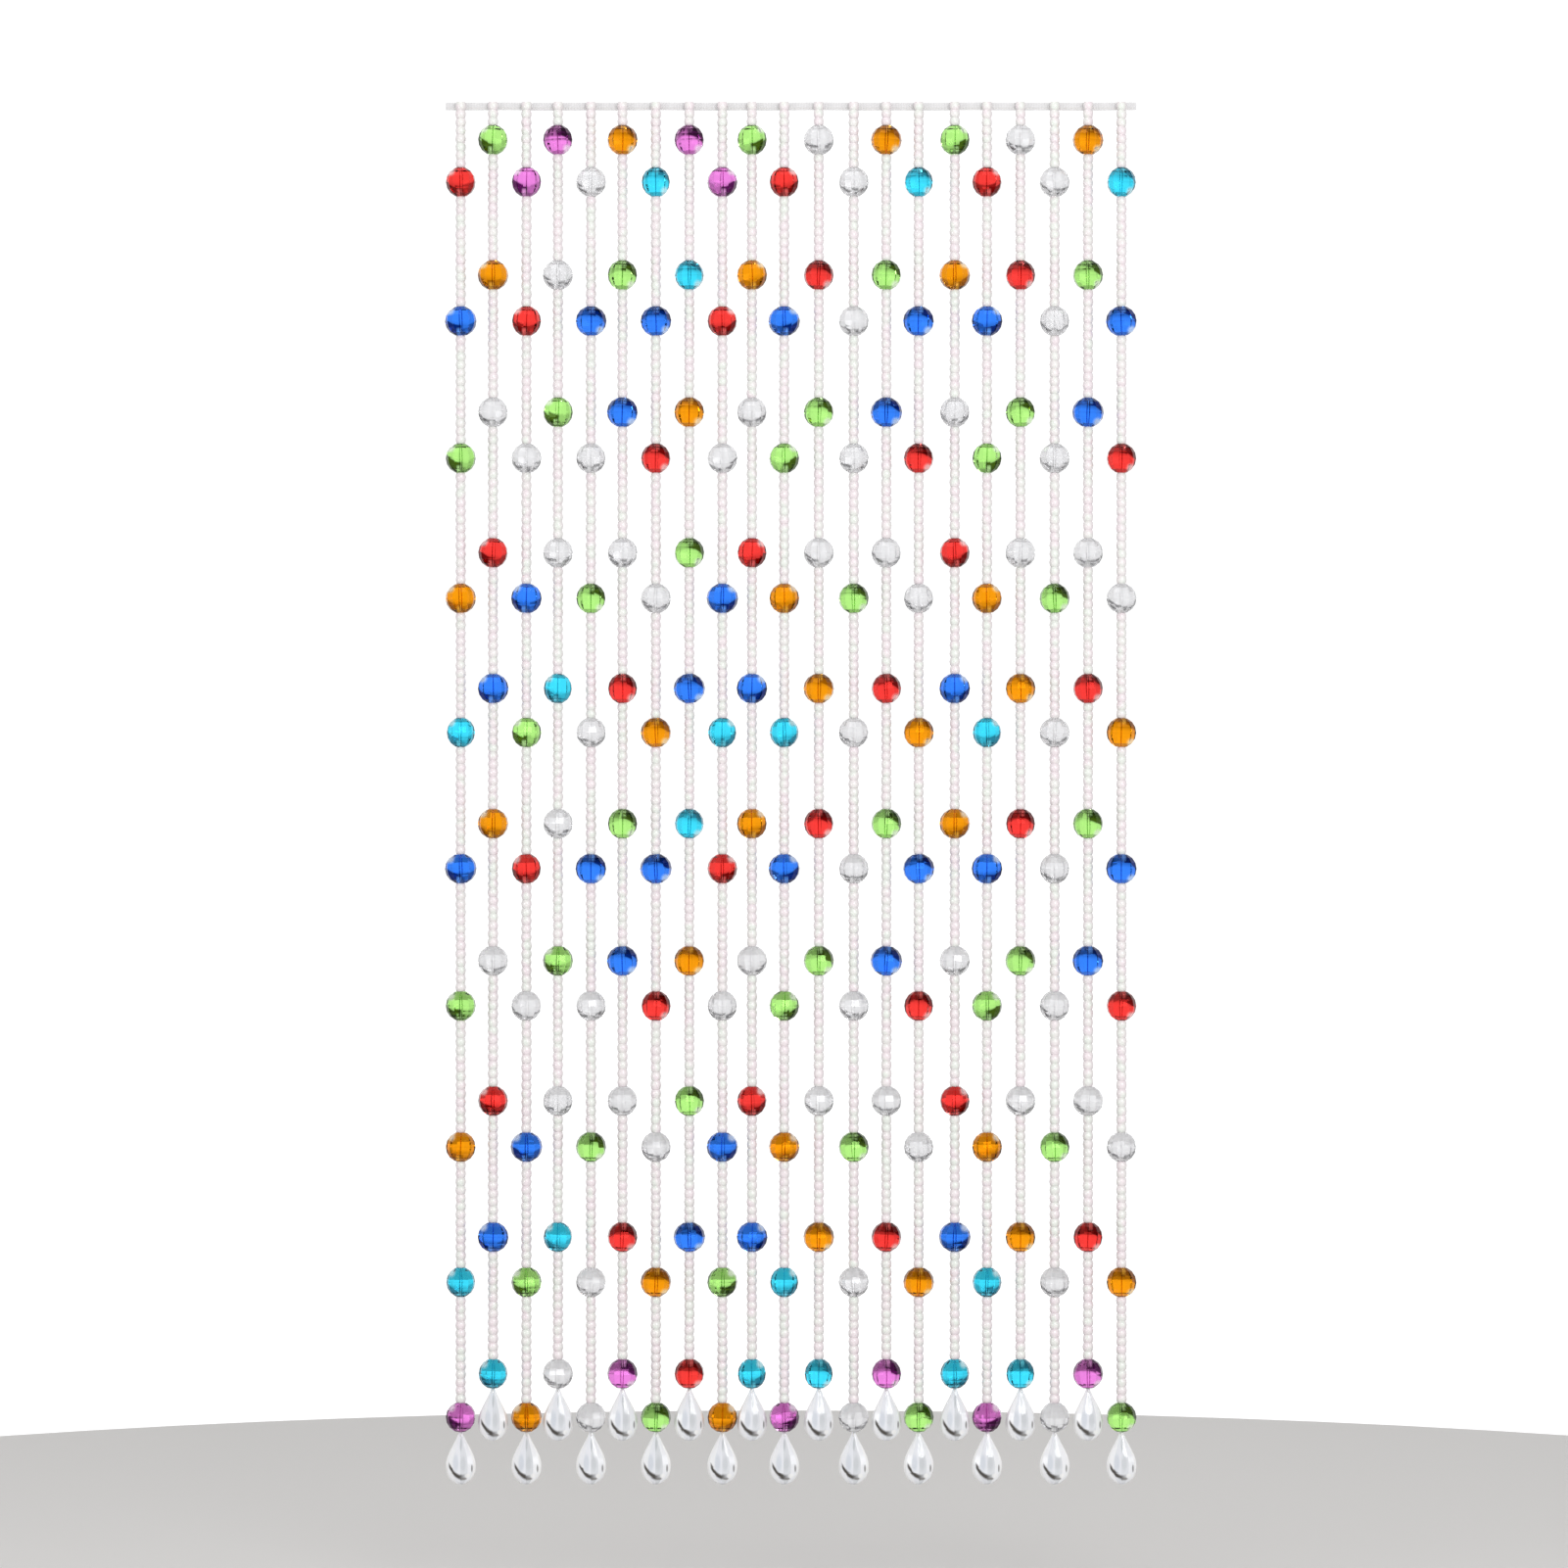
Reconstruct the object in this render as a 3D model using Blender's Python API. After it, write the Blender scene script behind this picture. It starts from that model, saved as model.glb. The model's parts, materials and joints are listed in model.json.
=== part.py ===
# Bead curtain: a narrow heading tape with strands of beads hanging from it, each ending in a teardrop.
# Metres. The strands hang along -Z, the width runs along X and the front faces -Y.
# The origin is the middle of the heading tape's top edge.
import math
from collections import namedtuple

import bmesh
import bpy

# Heading tape
TAPE_LENGTH = 0.900
TAPE_HEIGHT = 0.010
TAPE_THICKNESS = 0.003

# Strands
STRAND_COUNT = 21
STRAND_PITCH = 0.043
STRING_WIDTH = 0.0132  # mean width of the row of small beads
STRING_TOP = -0.0008  # just under the tape's top edge
STRING_INTO_TAPE = 0.0008  # how deep the back of a strand is sunk into the tape's front

# Large beads
BEAD_DIAMETER = 0.040
BEAD_REPEAT = 0.1786
LONG_FIRST_BEAD = 0.1045  # centre of the first large bead below the top edge
SHORT_FIRST_BEAD = 0.0497
BEAD_FLAT = 0.94  # height of a bead's flat drilled end, as a share of its radius
BEAD_SIDES = 6

# Teardrop pendants
DROP_LENGTH = 0.068
DROP_WIDTH = 0.039
DROP_THICKNESS = 0.021
DROP_SIDES = 8
SEAT_GAP = 0.0003  # between a pendant and the bead that it hangs under

# Finishes: base colour, roughness
PEARL_COLOUR = (0.90, 0.88, 0.86)
PEARL_ROUGHNESS = 0.25
CLEAR_COLOUR = (0.90, 0.93, 0.94)
CLEAR_ROUGHNESS = 0.05

MM = 0.001

# How far each strand hangs from its even place, in mm along X, from left to right
STRAND_SHIFTS_MM = (
    0.0, -1.0, -0.5, -2.5, -2.5, -4.5, -4.0,
    -3.5, -3.5, -8.0, -9.0, -7.0, -4.5, -5.0,
    -6.0, -2.0, -3.0, -2.5, -1.0, -0.5, 0.0,
)

# How far each row of large beads has slipped down from its even place, in mm
Row = namedtuple("Row", "long_slip short_slip")
ROWS = (
    Row(0.0, 0.0),
    Row(2.4, -2.7),
    Row(2.3, -2.8),
    Row(6.0, 1.5),
    Row(2.0, -0.5),
    Row(0.6, -3.2),
    Row(0.5, -3.3),
    Row(5.5, 0.4),
    Row(2.8, -1.1),
    Row(0.1, -1.8),
)

# A large bead between its flat ends, from the top down: shares of its radius
BeadRing = namedtuple("BeadRing", "up out")
BEAD_RINGS = (
    BeadRing(0.70, 0.72),
    BeadRing(0.0, 1.0),
    BeadRing(-0.70, 0.72),
)

# A pendant from its tip down: share of its length, and share of its half width there
DropRing = namedtuple("DropRing", "down wide")
DROP_RINGS = (
    DropRing(0.0, 0.12),
    DropRing(0.18, 0.38),
    DropRing(0.40, 0.76),
    DropRing(0.62, 1.0),
    DropRing(0.80, 0.86),
    DropRing(0.93, 0.52),
    DropRing(1.0, 0.14),
)


def clear_scene():
    for thing in list(bpy.data.objects):
        bpy.data.objects.remove(thing, do_unlink=True)


def make_material(name, colour, roughness):
    material = bpy.data.materials.new(name)
    material.use_nodes = True
    shader = material.node_tree.nodes["Principled BSDF"]
    shader.inputs["Base Color"].default_value = (*colour, 1.0)
    shader.inputs["Roughness"].default_value = roughness
    shader.inputs["Metallic"].default_value = 0.0
    return material


def make_object(name, mesh, material):
    thing = bpy.data.objects.new(name, mesh)
    bpy.context.scene.collection.objects.link(thing)
    mesh.materials.append(material)
    return thing


def square_ring(width):
    """Corners of a square across a strand, anticlockwise from above."""
    half = width / 2
    return [(half, half), (-half, half), (-half, -half), (half, -half)]


def round_ring(radius_x, radius_y, sides):
    """Corners of a ring across a bead or a pendant, anticlockwise from above, the first one at +X."""
    angles = [2 * math.pi * side / sides for side in range(sides)]
    return [(radius_x * math.cos(angle), radius_y * math.sin(angle)) for angle in angles]


def add_ring(bm, outline, centre, height):
    x, y = centre
    return [bm.verts.new((x + across, y + deep, height)) for across, deep in outline]


def side_middle(ring, side):
    """Where the middle of a ring's side lies, in turns; a square's first corner is at an eighth of a turn."""
    first_corner = 1 / 8 if len(ring) == 4 else 0.0
    return first_corner + (side + 0.5) / len(ring)


def stitch(bm, upper, lower):
    """Joins two rings, one above the other, with faces that point outwards."""
    if len(upper) == len(lower):
        for side, corner in enumerate(upper):
            after = (side + 1) % len(upper)
            bm.faces.new((lower[side], lower[after], upper[after], corner))
        return
    above = below = 0
    while above < len(upper) or below < len(lower):
        corner = upper[above % len(upper)]
        foot = lower[below % len(lower)]
        if side_middle(lower, below) < side_middle(upper, above):
            below += 1
            bm.faces.new((corner, foot, lower[below % len(lower)]))
        else:
            above += 1
            bm.faces.new((corner, foot, upper[above % len(upper)]))


def close_ends(bm, top, bottom):
    bm.faces.new(top)
    bm.faces.new(tuple(reversed(bottom)))


def is_long(strand):
    """The first strand is a long one, and long and short ones take turns."""
    return strand % 2 == 0


def strand_x(strand):
    even = (strand - (STRAND_COUNT - 1) / 2) * STRAND_PITCH
    return even + STRAND_SHIFTS_MM[strand] * MM


def strand_y():
    """The strands hang in front of the tape, with their backs sunk a little into it."""
    return -TAPE_THICKNESS / 2 - STRING_WIDTH / 2 + STRING_INTO_TAPE


def bead_heights(strand):
    """Heights of the centres of a strand's large beads, from the top down."""
    if is_long(strand):
        first = LONG_FIRST_BEAD
        slips = [row.long_slip for row in ROWS]
    else:
        first = SHORT_FIRST_BEAD
        slips = [row.short_slip for row in ROWS]
    return [-(first + row * BEAD_REPEAT + slip * MM) for row, slip in enumerate(slips)]


def add_bead(bm, centre, height, above):
    """Carries a strand on from the ring above through one large bead, and returns its last ring."""
    radius = BEAD_DIAMETER / 2
    string = square_ring(STRING_WIDTH)
    ring = add_ring(bm, string, centre, height + BEAD_FLAT * radius)
    stitch(bm, above, ring)
    for share in BEAD_RINGS:
        outline = round_ring(share.out * radius, share.out * radius, BEAD_SIDES)
        after = add_ring(bm, outline, centre, height + share.up * radius)
        stitch(bm, ring, after)
        ring = after
    last = add_ring(bm, string, centre, height - BEAD_FLAT * radius)
    stitch(bm, ring, last)
    return last


def add_strand(bm, strand):
    centre = (strand_x(strand), strand_y())
    top = add_ring(bm, square_ring(STRING_WIDTH), centre, STRING_TOP)
    ring = top
    for height in bead_heights(strand):
        ring = add_bead(bm, centre, height, ring)
    close_ends(bm, top, ring)


def make_strands(material):
    bm = bmesh.new()
    for strand in range(STRAND_COUNT):
        add_strand(bm, strand)
    mesh = bpy.data.meshes.new("curtain_strands")
    bm.to_mesh(mesh)
    bm.free()
    return make_object("curtain_strands", mesh, material)


def make_tape():
    """The tape as a shape that is only joined to the strands."""
    bm = bmesh.new()
    bmesh.ops.create_cube(bm, size=1.0)
    bmesh.ops.scale(bm, vec=(TAPE_LENGTH, TAPE_THICKNESS, TAPE_HEIGHT), verts=bm.verts)
    bmesh.ops.translate(bm, vec=(0, 0, -TAPE_HEIGHT / 2), verts=bm.verts)
    mesh = bpy.data.meshes.new("heading_tape_guide")
    bm.to_mesh(mesh)
    bm.free()
    tape = bpy.data.objects.new("heading_tape_guide", mesh)
    bpy.context.scene.collection.objects.link(tape)
    tape.hide_render = True
    tape.display_type = "WIRE"
    return tape


def join_to(thing, other):
    join = thing.modifiers.new("heading_tape", "BOOLEAN")
    join.operation = "UNION"
    join.solver = "EXACT"
    join.object = other


def make_drop(strand, material):
    """A flattened teardrop whose tip is under the strand's last large bead."""
    name = f"drop_{strand + 1:02d}"
    centre = (strand_x(strand), strand_y())
    tip = bead_heights(strand)[-1] - BEAD_FLAT * BEAD_DIAMETER / 2 - SEAT_GAP
    bm = bmesh.new()
    rings = []
    for share in DROP_RINGS:
        outline = round_ring(share.wide * DROP_WIDTH / 2, share.wide * DROP_THICKNESS / 2, DROP_SIDES)
        rings.append(add_ring(bm, outline, centre, tip - share.down * DROP_LENGTH))
    for upper, lower in zip(rings, rings[1:]):
        stitch(bm, upper, lower)
    close_ends(bm, rings[0], rings[-1])
    mesh = bpy.data.meshes.new(name)
    bm.to_mesh(mesh)
    bm.free()
    return make_object(name, mesh, material)


def main():
    clear_scene()
    pearl = make_material("pearl_white_plastic", PEARL_COLOUR, PEARL_ROUGHNESS)
    strands = make_strands(pearl)
    join_to(strands, make_tape())
    for strand in range(STRAND_COUNT):
        clear = make_material(f"clear_acrylic_{strand + 1:02d}", CLEAR_COLOUR, CLEAR_ROUGHNESS)
        make_drop(strand, clear)


main()
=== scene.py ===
import json
import math
import random

import bmesh
import bpy
from mathutils import Matrix, Vector

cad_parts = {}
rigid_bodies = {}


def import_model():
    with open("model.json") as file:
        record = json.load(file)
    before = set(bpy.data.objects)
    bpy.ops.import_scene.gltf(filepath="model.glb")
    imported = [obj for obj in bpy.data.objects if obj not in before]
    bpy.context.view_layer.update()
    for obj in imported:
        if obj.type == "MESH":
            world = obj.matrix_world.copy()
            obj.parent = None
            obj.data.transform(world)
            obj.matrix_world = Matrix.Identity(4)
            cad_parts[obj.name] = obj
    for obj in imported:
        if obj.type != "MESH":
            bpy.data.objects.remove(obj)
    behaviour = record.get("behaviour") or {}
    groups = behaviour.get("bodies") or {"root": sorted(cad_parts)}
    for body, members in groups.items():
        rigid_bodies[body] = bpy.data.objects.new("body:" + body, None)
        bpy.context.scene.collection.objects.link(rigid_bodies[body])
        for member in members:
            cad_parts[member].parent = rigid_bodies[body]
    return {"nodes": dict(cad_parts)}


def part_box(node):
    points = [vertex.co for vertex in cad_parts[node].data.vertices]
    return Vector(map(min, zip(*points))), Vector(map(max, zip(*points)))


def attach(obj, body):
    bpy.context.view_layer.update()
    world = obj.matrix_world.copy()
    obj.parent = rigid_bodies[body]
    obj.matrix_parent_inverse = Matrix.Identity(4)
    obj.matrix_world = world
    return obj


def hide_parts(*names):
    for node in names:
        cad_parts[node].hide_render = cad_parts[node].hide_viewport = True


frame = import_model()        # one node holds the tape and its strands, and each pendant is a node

for thing in list(bpy.data.objects):        # what Blender's start-up file holds
    if thing.name in ("Cube", "Light", "Camera"):
        bpy.data.objects.remove(thing)

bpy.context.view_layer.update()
random.seed(21)
mm = 0.001


# Small helpers

# Adds a shader node, sets its properties and socket values, and links sockets to it.
def addNode(tree, kind, settings=None, links=None):
    node = tree.nodes.new(kind)
    for key, value in (settings or {}).items():
        if isinstance(key, str) and hasattr(node, key):
            setattr(node, key, value)
        else:
            node.inputs[key].default_value = value
    for key, source in (links or {}).items():
        tree.links.new(source, node.inputs[key])
    return node


# A linear colour from an sRGB hex value.
def hexColour(text):
    parts = [int(text[i:i + 2], 16) / 255 for i in (1, 3, 5)]
    return tuple(p / 12.92 if p <= 0.04045 else ((p + 0.055) / 1.055) ** 2.4 for p in parts) + (1.0,)


def newMaterial(name):
    material = bpy.data.materials.new(name)
    material.use_nodes = True
    tree = material.node_tree
    return material, tree, tree.nodes["Principled BSDF"]


def deselectAll():
    for thing in bpy.context.selected_objects:
        thing.select_set(False)


def pickOnly(thing):
    deselectAll()
    thing.select_set(True)
    bpy.context.view_layer.objects.active = thing


# Names the primitive that was just added and opens it in edit mode.
def startPiece(name):
    thing = bpy.context.active_object
    thing.name = name
    thing.data.name = name
    bpy.ops.object.mode_set(mode="EDIT")
    return thing


# Selects the faces whose middle and normal pass the test, in edit mode.
def selectFaces(thing, test):
    bpy.ops.mesh.select_all(action="DESELECT")
    bpy.ops.mesh.select_mode(type="FACE")
    bm = bmesh.from_edit_mesh(thing.data)
    for face in bm.faces:
        if test(face.calc_center_median(), face.normal):
            face.select_set(True)
    bm.select_flush_mode()
    bmesh.update_edit_mesh(thing.data)


def applyModifiers(thing):
    pickOnly(thing)
    for modifier in list(thing.modifiers):
        bpy.ops.object.modifier_apply(modifier=modifier.name)


def joinPieces(things, name):
    deselectAll()
    for thing in things:
        thing.select_set(True)
    bpy.context.view_layer.objects.active = things[0]
    if len(things) > 1:
        bpy.ops.object.join()
    whole = bpy.context.active_object
    whole.name = name
    whole.data.name = name
    return whole


# A copy with its own mesh, moved by changing the mesh, so its object stays at the origin.
def placedCopy(pattern, place):
    thing = pattern.copy()
    thing.data = pattern.data.copy()
    thing.data.transform(place)
    bpy.context.scene.collection.objects.link(thing)
    return thing


# Gives a finished piece its material and body, and hides the CAD nodes it stands for. Its slot is not used.
def dress(thing, material, slot, *nodes):
    thing.data.materials.clear()
    thing.data.materials.append(material)
    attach(thing, "root")
    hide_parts(*nodes)


# Where the strands hang, read from the frame

curtain = {
    "tapeHeight": 10 * mm,
    "ballDiameter": 40 * mm,
    "ballFlat": 0.94,        # height of a ball's flat end, as a share of its radius
    "clearOfTape": 1 * mm,   # CAD points further than this under the tape belong to strands
    "tolerance": 0.05 * mm,  # within which a CAD point lies on a ball's widest ring
}


# Each strand's place and the heights of its balls, which are where the CAD strand is widest.
def readStrands():
    points = [v.co for v in frame["nodes"]["curtain_strands"].data.vertices]
    points = [p for p in points if p.z < -curtain["tapeHeight"] - curtain["clearOfTape"]]
    radius = curtain["ballDiameter"] / 2
    strands = []
    for node in sorted(n for n in frame["nodes"] if n.startswith("drop_")):
        low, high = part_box(node)
        x = (low.x + high.x) / 2
        wide = {round(p.z, 4) for p in points
                if abs(abs(p.x - x) - radius) < curtain["tolerance"]}
        strands.append({
            "node": node,
            "x": x,
            "y": (low.y + high.y) / 2,
            "tip": high.z,
            "balls": sorted(wide, reverse=True),
        })
    return strands


strands = readStrands()
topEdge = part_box("curtain_strands")[1].z
print("strands read:", len(strands), "balls:", sum(len(s["balls"]) for s in strands))

# How each kind of strand is strung, from the top down:
# r red, o amber, g green, b blue, c aqua, v violet, w clear, and a capital for a ball strung with its
# painted dark end up
stringing = {
    "A": "rbgocbgocv",
    "B": "gowrbowrbc",
    "C": "vrwbgrwbgo",
    "D": "Vwgwcwgwcw",
    "E": "wBwGwBwGww",
    "F": "OGBwRGBwRV",
    "G": "CBRwOBRwOG",
    "H": "VCOGBCOGBR",
    "I": "vrwbcrwbgo",
    "J": "wRGwORGwOC",
    "K": "wwwGwwwGww",
}
# from left to right, a small letter where the balls are mirrored
strandKinds = "ABCDEFGHibaJKFGbaJKFG"

# pale is the body colour and deep is the painted shade of the dark end, edge is how low it begins,
# in radii below the middle, right is how much of the painted shade stays on the right side, and size is
# across, against 40 mm
ballColours = {
    "r": {
        "name": "redBalls", "slot": "red_acrylic",
        "pale": "#F63C38", "deep": "#2A0000", "size": 0.97, "edge": 0.37, "right": 0.90,
    },
    "o": {
        "name": "amberBalls", "slot": "amber_acrylic",
        "pale": "#F3970D", "deep": "#5E2E00", "size": 1.00, "edge": 0.47, "right": 0.85,
    },
    "g": {
        "name": "greenBalls", "slot": "green_acrylic",
        "pale": "#B0F080", "deep": "#0C1600", "size": 0.98, "edge": 0.30, "right": 0.50,
    },
    "b": {
        "name": "blueBalls", "slot": "blue_acrylic",
        "pale": "#3480FC", "deep": "#000228", "size": 1.03, "edge": 0.40, "right": 0.90,
    },
    "c": {
        "name": "aquaBalls", "slot": "aqua_acrylic",
        "pale": "#3CDCFC", "deep": "#184A5E", "size": 0.94, "edge": 0.40, "right": 0.70,
    },
    "v": {
        "name": "violetBalls", "slot": "violet_acrylic",
        "pale": "#EB82DE", "deep": "#120012", "size": 0.98, "edge": 0.28, "right": 0.70,
    },
    "w": {
        "name": "clearBalls", "slot": "clear_acrylic",
        "pale": "#F5F5F7", "deep": "#5C5C5E", "size": 0.98, "edge": 0.58, "right": 0.90,
    },
}


# Large cut balls

ball = {
    "segments": 12,
    "rings": 8,
    "boreDiameter": 1.4 * mm,
    "tiltDegrees": 2.5,
    "flatFind": 0.1 * mm,    # faces this near the height of a flat end belong to it
}


# A ball cut in flat facets, with flat ends and a bore drilled through.
def makeBallPattern():
    radius = curtain["ballDiameter"] / 2
    flat = curtain["ballFlat"] * radius
    deselectAll()
    bpy.ops.mesh.primitive_uv_sphere_add(
        segments=ball["segments"], ring_count=ball["rings"], radius=radius)
    thing = startPiece("ballPattern")
    for side in (1, -1):
        bpy.ops.mesh.select_all(action="SELECT")
        bpy.ops.mesh.bisect(
            plane_co=(0, 0, side * flat), plane_no=(0, 0, side), clear_outer=True, use_fill=True)
    selectFaces(thing, lambda middle, normal: abs(abs(middle.z) - flat) < ball["flatFind"])
    bm = bmesh.from_edit_mesh(thing.data)
    endRadius = max(v.co.xy.length for f in bm.faces if f.select for v in f.verts)
    sideShare = math.cos(math.pi / ball["segments"])        # a side's distance against a corner's
    bpy.ops.mesh.inset(thickness=(endRadius - ball["boreDiameter"] / 2) * sideShare)
    bpy.ops.mesh.bridge_edge_loops()
    bpy.ops.mesh.select_all(action="SELECT")
    bpy.ops.mesh.normals_make_consistent(inside=False)
    bpy.ops.object.mode_set(mode="OBJECT")
    bpy.ops.object.shade_flat()
    return thing


# Keeps where each point lies on its own ball, in radii from its middle, with the painted dark end down and
# its darkest side left, and gives each facet a random value that moves the painted shade's edge up or down.
def markPlaces(thing, turned, mirrored):
    radius = curtain["ballDiameter"] / 2
    across = -1 if turned != mirrored else 1
    upward = -1 if turned else 1
    place = thing.data.attributes.new("ballPlace", "FLOAT_VECTOR", "POINT")
    for vertex, value in zip(thing.data.vertices, place.data):
        x, y, z = vertex.co / radius
        value.vector = (across * x, y, upward * z)
    tone = thing.data.attributes.new("facetTone", "FLOAT", "FACE")
    for value in tone.data:
        value.value = random.random()


# the streaks and gloss of the balls' acrylic, and the painted shade, painted pale lines and painted
# highlight in its base colour
dyeAndPaintedLight = {
    "edgeCurve": 0.48,        # how much higher the painted dark end begins at the sides, in radii
    "edgeTilt": 0.08,         # how much lower it begins on the right than in the middle
    "edgeSoft": 0.09,
    "facetShift": 0.28,       # how far single facets carry the painted shade up or down
    "notchPlace": -0.08,      # the painted pale line where light would come up the bore
    "notchHalf": 0.21,
    "notchDeep": 0.10,        # how much of the painted shade stays on it
    "notchFrom": -0.45,       # and it fades in between these two heights
    "notchTo": -0.78,
    "notchWhite": 0.45,       # how far it is painted white there, a painted highlight
    "toothPlace": 0.38,       # a second painted pale line, half lost, to the right of it
    "toothHalf": 0.15,
    "toothDeep": 0.60,
    "lineCore": 1 / 3,        # the share of a pale line's half width that is palest
    "rightSoft": 0.2,         # how wide the step from the left side to the right is
    "shade": 0.58,            # painted shade: how far the middle darkens towards the dark end
    "clearShade": 0.08,       # the same on clear balls
    "shadeFrom": 0.02,
    "shadeTo": -0.46,
    "shadeTilt": 0.15,        # how much lower it begins on the right
    "shadeEnd": -0.70,        # and below this the flat end is pale again
    "softStep": 0.1,          # half the width of the softer steps
    "bitePlace": (-0.64, 0.68),        # x and z of the painted highlight, a pale patch on the far shoulder
    "biteReach": 0.42,
    "biteCore": 1 / 3,        # the share of its reach that is palest
    "highlightWhite": 0.88,
    "clearHighlightWhite": 0.2,    # the same on clear balls
    "biteMilk": 0.45,         # how much of the light that painted highlight's patch stops and sends back
    "clearBallThrough": 0.60, # the share that clear balls let through, being a little milky
    "smileWide": 0.20,        # clear balls are pale again this far below the painted dark end's edge
    "smileLeft": 0.12,        # and this much of the tone stays there
    "streakStretch": (5.0, 5.0, 0.6),  # noise drawn out along the bore
    "streakDepth": 0.07,
    "roughness": (0.01, 0.06),
}


# Polished cut acrylic. Its colour is clear and even; the near-black end, where facets would throw the light
# aside, is painted shade in the base colour, with a broken edge and a painted pale line where the bore
# would let light up.
def cutAcrylic(colour, isClear):
    material, tree, shader = newMaterial(colour["name"] + "CutAcrylic")
    place = addNode(tree, "ShaderNodeAttribute", {"attribute_name": "ballPlace"})
    axes = addNode(tree, "ShaderNodeSeparateXYZ", links={0: place.outputs["Vector"]})
    facet = addNode(tree, "ShaderNodeAttribute", {"attribute_name": "facetTone"})

    # height above the painted dark end's edge, which curves up at the sides and jumps from facet to facet
    square = addNode(tree, "ShaderNodeMath", {"operation": "MULTIPLY"},
                     {0: axes.outputs["X"], 1: axes.outputs["X"]})
    depth = colour["edge"] - dyeAndPaintedLight["facetShift"] / 2
    edge = addNode(tree, "ShaderNodeMath", {
        "operation": "MULTIPLY_ADD", 1: -dyeAndPaintedLight["edgeCurve"], 2: depth,
    }, {0: square.outputs[0]})
    tilted = addNode(tree, "ShaderNodeMath", {"operation": "MULTIPLY_ADD", 1: dyeAndPaintedLight["edgeTilt"]},
                     {0: axes.outputs["X"], 2: edge.outputs[0]})
    height = addNode(tree, "ShaderNodeMath", {"operation": "ADD"},
                     {0: axes.outputs["Z"], 1: tilted.outputs[0]})
    level = addNode(tree, "ShaderNodeMath", {"operation": "MULTIPLY_ADD", 1: dyeAndPaintedLight["facetShift"]},
                    {0: facet.outputs["Fac"], 2: height.outputs[0]})
    deep = addNode(tree, "ShaderNodeMapRange", {
        "interpolation_type": "SMOOTHSTEP", "From Min": dyeAndPaintedLight["edgeSoft"], "From Max": -dyeAndPaintedLight["edgeSoft"],
    }, {"Value": level.outputs[0]})

    # how much of the painted shade stays: little on the painted pale line up the bore, and less on the
    # right
    stays = addNode(tree, "ShaderNodeMapRange", {
        "interpolation_type": "SMOOTHSTEP", "From Min": 0.0, "From Max": dyeAndPaintedLight["rightSoft"],
        "To Min": 1.0, "To Max": colour["right"],
    }, {"Value": axes.outputs["X"]})
    nearBore = addNode(tree, "ShaderNodeMapRange", {
        "interpolation_type": "SMOOTHSTEP", "From Min": dyeAndPaintedLight["notchFrom"], "From Max": dyeAndPaintedLight["notchTo"],
    }, {"Value": axes.outputs["Z"]})
    cuts = {}
    for name in ("notch", "tooth"):
        offLine = addNode(tree, "ShaderNodeMath", {"operation": "ADD", 1: -dyeAndPaintedLight[name + "Place"]},
                          {0: axes.outputs["X"]})
        away = addNode(tree, "ShaderNodeMath", {"operation": "ABSOLUTE"}, {0: offLine.outputs[0]})
        line = addNode(tree, "ShaderNodeMapRange", {
            "interpolation_type": "SMOOTHSTEP", "From Min": dyeAndPaintedLight[name + "Half"],
            "From Max": dyeAndPaintedLight[name + "Half"] * dyeAndPaintedLight["lineCore"], "To Max": 1.0 - dyeAndPaintedLight[name + "Deep"],
        }, {"Value": away.outputs[0]})
        cuts[name] = addNode(tree, "ShaderNodeMath", {"operation": "MULTIPLY"},
                             {0: line.outputs[0], 1: nearBore.outputs[0]})
        kept = addNode(tree, "ShaderNodeMath", {"operation": "SUBTRACT", 0: 1.0},
                       {1: cuts[name].outputs[0]})
        stays = addNode(tree, "ShaderNodeMath", {"operation": "MULTIPLY"},
                        {0: stays.outputs[0], 1: kept.outputs[0]})
    # painted shade: the middle darkens towards the dark end, and the flat end is pale again
    leaning = addNode(tree, "ShaderNodeMath", {"operation": "MULTIPLY_ADD", 1: dyeAndPaintedLight["shadeTilt"]},
                      {0: axes.outputs["X"], 2: axes.outputs["Z"]})
    darken = addNode(tree, "ShaderNodeMapRange", {
        "interpolation_type": "SMOOTHSTEP", "From Min": dyeAndPaintedLight["shadeFrom"], "From Max": dyeAndPaintedLight["shadeTo"],
        "To Max": dyeAndPaintedLight["clearShade"] if isClear else dyeAndPaintedLight["shade"],
    }, {"Value": leaning.outputs[0]})
    lighten = addNode(tree, "ShaderNodeMapRange", {
        "interpolation_type": "SMOOTHSTEP", "From Min": dyeAndPaintedLight["shadeEnd"] - dyeAndPaintedLight["softStep"],
        "From Max": dyeAndPaintedLight["shadeEnd"] + dyeAndPaintedLight["softStep"],
    }, {"Value": axes.outputs["Z"]})
    shade = addNode(tree, "ShaderNodeMath", {"operation": "MULTIPLY"},
                    {0: darken.outputs[0], 1: lighten.outputs[0]})
    darkest = addNode(tree, "ShaderNodeMath", {"operation": "MAXIMUM"},
                      {0: deep.outputs[0], 1: shade.outputs[0]})
    mask = addNode(tree, "ShaderNodeMath", {"operation": "MULTIPLY"},
                   {0: darkest.outputs[0], 1: stays.outputs[0]})
    if isClear:
        fade = addNode(tree, "ShaderNodeMapRange", {
            "interpolation_type": "SMOOTHSTEP", "From Min": -dyeAndPaintedLight["smileWide"] - dyeAndPaintedLight["softStep"],
            "From Max": -dyeAndPaintedLight["smileWide"] + dyeAndPaintedLight["softStep"], "To Min": dyeAndPaintedLight["smileLeft"],
        }, {"Value": level.outputs[0]})
        mask = addNode(tree, "ShaderNodeMath", {"operation": "MULTIPLY"},
                       {0: mask.outputs[0], 1: fade.outputs[0]})
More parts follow.
